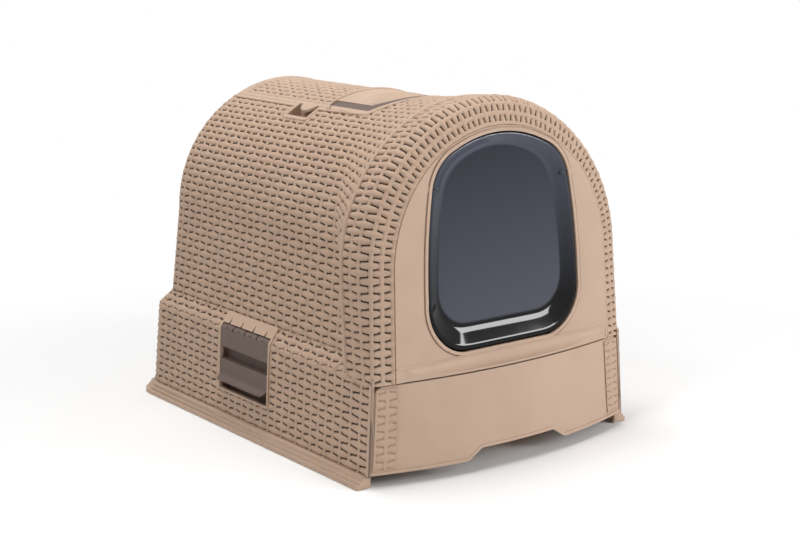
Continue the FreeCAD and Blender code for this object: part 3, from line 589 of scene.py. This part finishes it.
def hood_woven_face(p, n):
    """Whether a face of the hood, by its middle and normal, is covered by a woven sheet."""
    x, y, z = p
    side = 1 if x > 0 else -1
    if z < shoulder_head_z + 0.1 and y > front_y + ring_cover:
        share = min(max((z - skirt_foot_z) / (skirt_head_z - skirt_foot_z), 0), 1)
        step = min(max((z - skirt_head_z) / (shoulder_head_z - skirt_head_z), 0), 1)
        drop = share * skirt_draft + step * shoulder_in
        dx = abs(x) - (skirt_foot_half - drop - corner_round)
        dy = y - (rear_y - drop - corner_round)
        distance = math.hypot(max(dx, 0), max(dy, 0)) + min(max(dx, dy), 0) - corner_round
        outward = Vector((max(dx, 0) * side, max(dy, 0), 0))
        return abs(distance) < face_gap and outward.length > 0 and n.dot(outward.normalized()) > 0.3
    if z < ring_foot_z + 1.0:
        flush = abs(x) - skirt_foot_half + (z - skirt_foot_z) * skirt_slope
        return abs(flush) < face_gap and n.x * side > 0.8
    if y > rear_wall_y and n.y > 0.4:
        return True
    if z > top_z and on_pad(x, y, 0.3):
        return False
    if y > shoulder_y and z < shoulder_z:
        return False
    radial = Vector((x, 0, z - ring_centre_z)).normalized() if z >= ring_centre_z else Vector((side, 0, 0))
    return n.dot(radial) > 0.1


# Base: its floor ends further back under the drawer's front corners than the solid's does
floor_front, floor_stop, floor_foot, floor_head = -221.0, -165.0, -1.0, 6.0
floor_inner, floor_outer = 60.0, 173.2
# Outline of the stepped flange's front end, x and z
flange_steps = [(174.4, 0.2), (191.3, 0.2), (191.3, 4.3), (188.2, 4.7), (188.2, 7.8), (185.0, 8.2),
                (185.0, 12.2), (174.4, 12.2)]
flange_end, cap_depth, cap_round, cap_sharp = -220.6, 2.6, 0.9, math.radians(35)


def floor_cutters():
    """A block over each front corner of the base's floor."""
    work = bmesh.new()
    size = Vector((floor_outer - floor_inner, floor_stop - floor_front, floor_head - floor_foot))
    for side, _ in SIDES:
        middle = Vector((side * (floor_inner + floor_outer) / 2, (floor_front + floor_stop) / 2,
                         size.z / 2 + floor_foot))
        place = Matrix.Translation(middle * MM) @ Matrix.Diagonal((*(size * MM), 1.0))
        bmesh.ops.create_cube(work, size=1.0, matrix=place)
    return new_mesh("floor_cutter", work)


def cut_away(mesh, cutter_mesh):
    """What is left of a mesh outside a cutter."""
    whole, cutter = (bpy.data.objects.new(m.name, m) for m in (mesh, cutter_mesh))
    for helper in (whole, cutter):
        bpy.context.scene.collection.objects.link(helper)
    cut = whole.modifiers.new("cut", "BOOLEAN")
    cut.object, cut.operation, cut.solver = cutter, "DIFFERENCE", "EXACT"
    left = bpy.data.meshes.new_from_object(whole.evaluated_get(bpy.context.evaluated_depsgraph_get()))
    for helper in (whole, cutter):
        bpy.data.objects.remove(helper)
    for spent in (mesh, cutter_mesh):
        bpy.data.meshes.remove(spent)
    return left


def flange_cap(side):
    """A rounded plate that closes one front end of the base's flange."""
    work = bmesh.new()
    corners = [work.verts.new((side * x * MM, flange_end * MM, z * MM)) for x, z in flange_steps]
    front = work.faces.new(corners)
    rear = bmesh.ops.extrude_face_region(work, geom=[front])["geom"]
    bmesh.ops.translate(work, verts=[v for v in rear if isinstance(v, bmesh.types.BMVert)],
                        vec=(0, cap_depth * MM, 0))
    bmesh.ops.bevel(work, geom=work.edges[:], offset=cap_round * MM, segments=3, profile=0.5, affect="EDGES",
                    clamp_overlap=True)
    bmesh.ops.recalc_face_normals(work, faces=work.faces)
    return new_mesh("flange_cap", work)


base_mesh = cut_away(new_mesh("base_whole", welded("base_tray")), floor_cutters())
base = placed("base_set_back", base_mesh, "base", tan_smooth, SHARP)
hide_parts("base_tray")
for side, label in SIDES:
    placed("flange_cap_" + label, flange_cap(side), "base", tan_smooth, cap_sharp)


# Hood
stripped("hood_shell", "hood_smooth", "hood", hood_planes(), hood_woven_face)
woven("hood_weave_left", arch_surface, (0, arch_columns), (0, 27), "hood")
woven("hood_weave_crown", arch_surface, (0, arch_columns), (27, 53), "hood", keep_arch)
woven("hood_weave_right", arch_surface, (0, arch_columns), (53, arch_rows[-1]), "hood")
woven("hood_weave_ring", ring_surface, ring_columns, (ring_rows[0], ring_rows[-1]), "hood")
all_skirt_rows = (0, skirt_rows + shoulder_rows)
woven("skirt_weave_left", skirt_surface, (0, skirt_middle), all_skirt_rows, "hood", keep_skirt)
woven("skirt_weave_right", skirt_surface, (skirt_middle, skirt_columns), all_skirt_rows, "hood", keep_skirt)
woven("rear_weave", rear_surface, (-rear_columns, rear_columns), (0, rear_rows), "hood", keep_rear)


# Lid and drawer
def lid_woven_face(p, n):
    """Whether a face of the lid, by its middle and normal, is covered by a woven sheet."""
    radial = Vector((p.x, 0, p.z - arch_centre_z))
    inside = abs(p.x) < lid_weave_half and lid_weave_front < p.y < lid_weave_rear
    return inside and radial.length > arch_skin and n.dot(radial.normalized()) > 0.7


def anywhere(p):
    return True


lid_planes = [((x, 0, 0), (1, 0, 0), anywhere) for x in (-lid_weave_half, lid_weave_half)]
lid_planes += [((0, y, 0), (0, 1, 0), anywhere) for y in (lid_weave_front, lid_weave_rear)]
stripped("filter_lid", "lid_smooth", "lid", lid_planes, lid_woven_face, 2.0)
woven("lid_weave", lid_surface, (0, lid_columns), (0, lid_rows), "lid", relief=0.7)
# The drawer's strips get a weaker painted shade in their holes
for side, label in SIDES:
    woven("drawer_weave_" + label, drawer_strip(side), (0, strip_columns), (0, strip_rows), "drawer",
          relief=0.45, sink=-1.1, shade=0.35)


# Smooth beads
bead_sides, bead_up = 13, [0.3, 0.2, 1.0]             # points round a bead, and a direction that no bead has
ridge_radius, ridge_sunk, crease_radius, edge_radius, rear_radius = 3.0, 1.7, 2.6, 2.6, 2.4
border_radius, border_sunk, lip_radius, lip_sunk = 1.6, 0.7, 2.2, 0.2
lip_half, lip_y, lip_taper = 58.0, 10.4, 6.0


def bead(name, line, radius, body, material=tan_smooth):
    """A round bead along a line of points, with one radius or one for each point."""
    line = np.asarray(line, float)
    radius = np.broadcast_to(np.asarray(radius, float), len(line))
    forward = np.gradient(line, axis=0)
    forward /= np.linalg.norm(forward, axis=1, keepdims=True)
    side = np.cross(forward, bead_up)
    side /= np.linalg.norm(side, axis=1, keepdims=True)
    up = np.cross(side, forward)
    turn = np.linspace(0, 2 * math.pi, bead_sides)
    points = line[:, None] + radius[:, None, None] * (np.cos(turn)[None, :, None] * side[:, None]
                                                      + np.sin(turn)[None, :, None] * up[:, None])
    mesh_piece(name, points.reshape(-1, 3), grid_faces(len(line), bead_sides), body, material)


def between(start, end, count):
    """Even points from one point to another."""
    return start + (end - start) * np.linspace(0, 1, count)[:, None]


for sign, label in SIDES:
    climb = np.linspace(0.11, 2.0, 90)
    line = ring_point(climb if sign < 0 else 4 - climb, ring_back)
    rise = np.maximum(line[:, 2] - ring_centre_z, 0)
    outward = np.stack([np.where(rise > 0, line[:, 0], sign * ring_back[0]), 0 * rise, rise], -1)
    outward /= np.linalg.norm(outward, axis=1, keepdims=True)
    bead("ridge_" + label, line - ridge_sunk * outward, ridge_radius, "hood")
    head = np.array([sign * (skirt_head_half - shoulder_in), arch_start_foot + 3.0, shoulder_head_z])
    foot = np.array([sign * skirt_head_half, arch_start_foot + 16.0, skirt_head_z])
    bead("crease_" + label, between(head, foot, 16) - [sign * 1.2, 0, 0.9], crease_radius, "hood")
    foot = np.array([sign * (skirt_foot_half - 1.6), front_y + 2.6, skirt_foot_z + 0.5])
    head = np.array([sign * (skirt_head_half - 1.2), front_y + 2.6, ring_foot_z + 1.5])
    bead("skirt_edge_" + label, between(foot, head, 24), edge_radius, "hood")
rear_line = rear_point(np.linspace(arch_first, 4 - arch_first, 180), 0, edge_round)
bead("rear_bead", rear_line, rear_radius, "hood")


def on_arch(plan, radius):
    """Points over a plan on the hood's round top, at a radius from its axis."""
    plan = np.asarray(plan, float)
    return np.stack([plan[:, 0], plan[:, 1], arch_centre_z + np.sqrt(radius ** 2 - plan[:, 0] ** 2)], -1)


def walked(corners, step=1.5):
    """Even points along a line through corners, with the corners eased."""
    corners = np.asarray(corners, float)
    spans = np.concatenate([[0], np.cumsum(np.linalg.norm(np.diff(corners, axis=0), axis=1))])
    places = np.linspace(0, spans[-1], int(spans[-1] / step))
    points = np.stack([np.interp(places, spans, corners[:, k]) for k in (0, 1)], -1)
    for _ in range(3):
        points[1:-1] = (points[:-2] + 2 * points[1:-1] + points[2:]) / 4
    return points


bow_middle = len(bow_x) // 2
for sign, label in SIDES:
    half_plan = list(zip(bow_x[bow_middle:], bow_y[bow_middle:])) + [
        (pad_half, pad_front), (pad_half, well_front), (well_half, well_front), (well_half, well_rear),
        (pad_half, well_rear), (pad_half, pad_rear), (0.0, pad_rear)]
    plan = [(sign * x, y) for x, y in half_plan]
    bead("pad_border_" + label, on_arch(walked(plan), arch_radius - border_sunk), border_radius, "hood")
lid_edge = on_arch(walked([(-lip_half, lip_y), (lip_half, lip_y)]), arch_radius - lip_sunk)
ends = np.clip((lip_half + 0.5 - np.abs(lid_edge[:, 0])) / lip_taper, 0.05, 1)
bead("lid_lip", lid_edge, lip_radius * ends, "lid")


# Swing door
def arc_points(a, b, c, count):
    """Points of the arc through three points of a plane, without its end."""
    (ax, az), (bx, bz), (cx, cz) = a, b, c
    d = 2 * (ax * (bz - cz) + bx * (cz - az) + cx * (az - bz))
    a2, b2, c2 = ax * ax + az * az, bx * bx + bz * bz, cx * cx + cz * cz
    x = (a2 * (bz - cz) + b2 * (cz - az) + c2 * (az - bz)) / d
    z = (a2 * (cx - bx) + b2 * (ax - cx) + c2 * (bx - ax)) / d
    start, end = math.atan2(az - z, ax - x), math.atan2(cz - z, cx - x)
    sweep = (end - start + math.pi) % (2 * math.pi) - math.pi
    turn = np.linspace(start, start + sweep, count, endpoint=False)
    radius = math.hypot(ax - x, az - z)
    return np.stack([x + radius * np.cos(turn), z + radius * np.sin(turn)], -1)


outline_passes = 8                        # smoothing of the outline's joints
door_middle_z = door_widest_z + 50.0
rim_start, rim_fillet, rim_roll = 0.13, 0.45, 0.1     # shares of the bevel


def door_outline(share):
    """The door's outline, drawn in by a share of its bevel: flat foot, round corners, arched head."""
    side, head_in, foot_in = (share * width for width in door_bevel)
    foot, head = door_foot_z + foot_in, door_head_z - head_in
    wide, pivot = door_half - side, door_pivot_half - side
    foot_half, head_half = door_foot_half - side / 2, door_shoulder_half - side / 2
    wide_z = door_widest_z + foot_in / 3
    pivot_z, head_z = door_pivot_z - head_in, door_shoulder_z - head_in
    turn = math.sqrt(0.5)
    corner_point = (foot_half + (wide - foot_half) * turn, wide_z - (wide_z - foot) * turn)
    side_point = ((wide + pivot) / 2 + (door_half - door_pivot_half) / 4, (wide_z + pivot_z) / 2)
    brow_point = (head_half + (pivot - head_half) * 0.64, pivot_z + (head_z - pivot_z) * 0.62)
    half = np.concatenate([
        np.stack([np.linspace(0, foot_half, 12, endpoint=False), np.full(12, foot)], -1),
        arc_points((foot_half, foot), corner_point, (wide, wide_z), 24),
        arc_points((wide, wide_z), side_point, (pivot, pivot_z), 24),
        arc_points((pivot, pivot_z), brow_point, (head_half, head_z), 24),
        arc_points((head_half, head_z), (0, head), (-head_half, head_z), 48)[:24],
        [(0, head)],
    ])
    whole = np.concatenate([half, half[-2:0:-1] * [-1, 1]])
    for _ in range(outline_passes):
        whole = (np.roll(whole, 1, 0) + 2 * whole + np.roll(whole, -1, 0)) / 4
    return whole


def door_rings():
    """Rings from the middle of the door's face, over its rim and back to the middle of its rear side."""
    s = np.linspace(0, 1, 31)
    slope = np.clip(s / rim_roll, 0, 1) * np.clip((1 - s) / rim_fillet, 0, 1)
    sunk = np.cumsum(slope) / slope.sum() * door_dish
    # Each station is a share of the bevel, a depth and a scale towards the middle
    stations = [(1.0, door_dish, k) for k in (0.0, 0.35, 0.7, 0.9, 0.985)]
    stations += [(rim_start + (1 - rim_start) * a, b, 1.0) for a, b in zip(s[::-1], sunk[::-1])]
    stations += [(0.06, 0.0, 1.0), (0.02, 0.25, 1.0), (0.0, 0.9, 1.0), (0.0, door_wall, 1.0)]
    stations += [(1.0, door_dish + door_wall, k) for k in (1.0, 0.5, 0.0)]
    rings, pane = [], []
    middle = np.array([0, door_middle_z])
    for share, y, scale in stations:
        flat = middle + (door_outline(share) - middle) * scale
        flat = np.concatenate([flat, flat[:1]])
        rings.append(np.stack([flat[:, 0], *leaned(y, flat[:, 1] - lean_z)], -1))
        pane.append(np.full(len(flat), np.clip((share - 0.9) / 0.1, 0, 1)))
    return np.stack(rings), np.stack(pane)


door_points, on_pane = door_rings()
door = mesh_piece("door_pane", door_points.reshape(-1, 3), grid_faces(*door_points.shape[:2]), "door",
                  smoked_door, {"pane": on_pane.ravel()})
work = bmesh.new()
work.from_mesh(door.data)
bmesh.ops.remove_doubles(work, verts=work.verts, dist=1e-6)
bmesh.ops.dissolve_degenerate(work, edges=work.edges, dist=1e-6)
bmesh.ops.recalc_face_normals(work, faces=work.faces)
work.to_mesh(door.data)
work.free()
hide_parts("swing_door")
pin_y, pin_z = leaned(door_pin_back, door_pivot_z - lean_z)
pin_reach = np.array([-9.0, -8.9, -1.5, -1.4, 6.4, 6.5])
pin_radius = [0.01, 3.0, 3.0, 2.0, 2.0, 0.01]
for side, label in SIDES:
    line = [(side * (door_pivot_half + reach), pin_y, pin_z) for reach in pin_reach]
    bead("door_pin_" + label, line, pin_radius, "door", smoked_door)


# Filter pad
def pad_points():
    """Upper and lower points of a crowned pad with a shallow quilt, whose sides pull in."""
    half, y0, y1, foot, thick = 58.6, 16.4, 183.6, 345.3, 9.4
    across, along = np.linspace(-1, 1, 41), np.linspace(-1, 1, 57)
    s, t = np.meshgrid(across, along, indexing="ij")
    edge = np.maximum(np.abs(s) ** 10, np.abs(t) ** 12)
    quilt = 0.5 * (np.cos(s * math.pi * 3.5) ** 8 + np.cos(t * math.pi * 5.5) ** 8)
    crown = 0.9 + 0.1 * (1 - s * s) * (1 - t * t)
    height = thick * np.sqrt(np.clip(1 - edge, 0, 1)) * crown - quilt * (1 - edge)
    pull = 1 - 0.012 * (1 - np.abs(t[:, :, None])) * np.array([1.0, 0, 0])
    top = np.stack([s * half, (y0 + y1) / 2 + t * (y1 - y0) / 2, foot + np.maximum(height, 0.2)], -1) * pull
    low = top.copy()
    low[..., 2] = foot
    return top, low


top, low = pad_points()
rows, columns = top.shape[:2]
upper, under = grid_faces(rows, columns)[:, ::-1], grid_faces(rows, columns) + rows * columns
border = np.concatenate([np.arange(columns), np.arange(1, rows) * columns + columns - 1,
                         (rows - 1) * columns + np.arange(columns - 2, -1, -1),
                         np.arange(rows - 2, 0, -1) * columns])
after = np.roll(border, -1)
rim = np.stack([border, after, after + rows * columns, border + rows * columns], -1)
pad = mesh_piece("filter_pad", np.concatenate([top.reshape(-1, 3), low.reshape(-1, 3)]),
                 np.concatenate([upper, under, rim]), "hood", carbon_pad)
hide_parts("carbon_filter")


# Floor, light and camera
def seen_rays(tree):
    """1 for rays of the camera, reflections and see-through surfaces, 0 for light on the object."""
    path = tree.nodes.new("ShaderNodeLightPath")
    seen = path.outputs["Is Camera Ray"]
    for kind in ("Is Glossy Ray", "Is Transmission Ray"):
        either = tree.nodes.new("ShaderNodeMath")
        either.operation = "MAXIMUM"
        tree.links.new(seen, either.inputs[0])
        tree.links.new(path.outputs[kind], either.inputs[1])
        seen = either.outputs["Value"]
    return seen


def choose(tree, factor, first, second, output):
    """Mixes two shaders into the output."""
    node = tree.nodes.new("ShaderNodeMixShader")
    tree.links.new(factor, node.inputs["Fac"])
    tree.links.new(first, node.inputs[1])
    tree.links.new(second, node.inputs[2])
    tree.links.new(node.outputs["Shader"], tree.nodes[output].inputs["Surface"])


def white_where_seen(tree, shader):
    """Lets the floor run out to plain white away from the object, and keeps its shadow near it."""
    place = tree.nodes.new("ShaderNodeTexCoord")
    distance = tree.nodes.new("ShaderNodeVectorMath")
    distance.operation = "LENGTH"
    tree.links.new(place.outputs["Object"], distance.inputs[0])
    far = add(tree, "ShaderNodeMapRange")
    far.inputs["From Min"].default_value, far.inputs["From Max"].default_value = 0.3, 0.75
    tree.links.new(distance.outputs["Value"], far.inputs["Value"])
    both = tree.nodes.new("ShaderNodeMath")
    both.operation = "MULTIPLY"
    tree.links.new(far.outputs["Result"], both.inputs[0])
    tree.links.new(seen_rays(tree), both.inputs[1])
    white = add(tree, "ShaderNodeEmission", Color=(1, 1, 1, 1), Strength=1.0)
    choose(tree, both.outputs["Value"], shader.outputs["BSDF"], white.outputs["Emission"], "Material Output")


floor_mesh = bpy.data.meshes.new("floor")
floor_mesh.from_pydata([(-6, -6, 0), (6, -6, 0), (6, 9, 0), (-6, 9, 0)], [], [(0, 1, 2, 3)])
floor_material, floor_tree, floor_shader = tree_of("pale_floor")
floor_tree.links.new(ramp(floor_tree, noise(floor_tree, 3.0), (0.88, 0.88, 0.88), (0.9, 0.9, 0.9)),
                     floor_shader.inputs["Base Color"])
floor_shader.inputs["Roughness"].default_value = 0.9
white_where_seen(floor_tree, floor_shader)
floor_mesh.materials.append(floor_material)
floor = bpy.data.objects.new("floor", floor_mesh)
floor.location.z = -0.0005
bpy.context.scene.collection.objects.link(floor)

world = bpy.data.worlds.new("studio")
world.use_nodes = True
sky = world.node_tree
shown = sky.nodes["Background"]
shown.inputs["Color"].default_value = (1, 1, 1, 1)
ambient = add(sky, "ShaderNodeBackground", Color=(1, 0.985, 0.97, 1), Strength=0.16)
choose(sky, seen_rays(sky), ambient.outputs["Background"], shown.outputs["Background"], "World Output")
bpy.context.scene.world = world


def softbox(name, place, target, width, height, power):
    """A rectangular lamp that the camera doesn't see."""
    light = bpy.data.lights.new(name, "AREA")
    light.shape = "RECTANGLE"
    light.size, light.size_y, light.energy = width, height, power
    lamp = bpy.data.objects.new(name, light)
    lamp.location = place
    lamp.visible_camera = False
    lamp.rotation_euler = (Vector(target) - Vector(place)).to_track_quat("-Z", "Y").to_euler()
    bpy.context.scene.collection.objects.link(lamp)


softbox("key", (0.8, -2.1, 1.5), (0, 0, 0.2), 1.0, 0.8, 11)
softbox("overhead", (-0.2, 0.2, 2.1), (0, 0, 0.2), 1.2, 1.2, 33)
softbox("strip", (1.05, -1.5, 0.57), (0, -0.2, 0.16), 0.5, 0.4, 15)
softbox("side", (-1.7, -0.5, 1.9), (0, 0, 0.2), 0.7, 0.7, 17)

camera_data = bpy.data.cameras.new("camera")
camera_data.sensor_width = 36
camera_data.lens = 72.975
camera_data.shift_x, camera_data.shift_y = -0.0442, -0.0065
camera = bpy.data.objects.new("camera", camera_data)
eye, aim = Vector((-1.0976, -1.5155, 0.5805)), Vector((0.10278, 0.025, 0.16063))
turn = (aim - eye).to_track_quat("-Z", "Y").to_matrix().to_4x4()
camera.matrix_world = Matrix.Translation(eye) @ turn @ Matrix.Rotation(math.radians(-0.215), 4, "Z")
bpy.context.scene.collection.objects.link(camera)
bpy.context.scene.camera = camera
bpy.context.scene.view_settings.view_transform = "Standard"

bpy.context.view_layer.update()
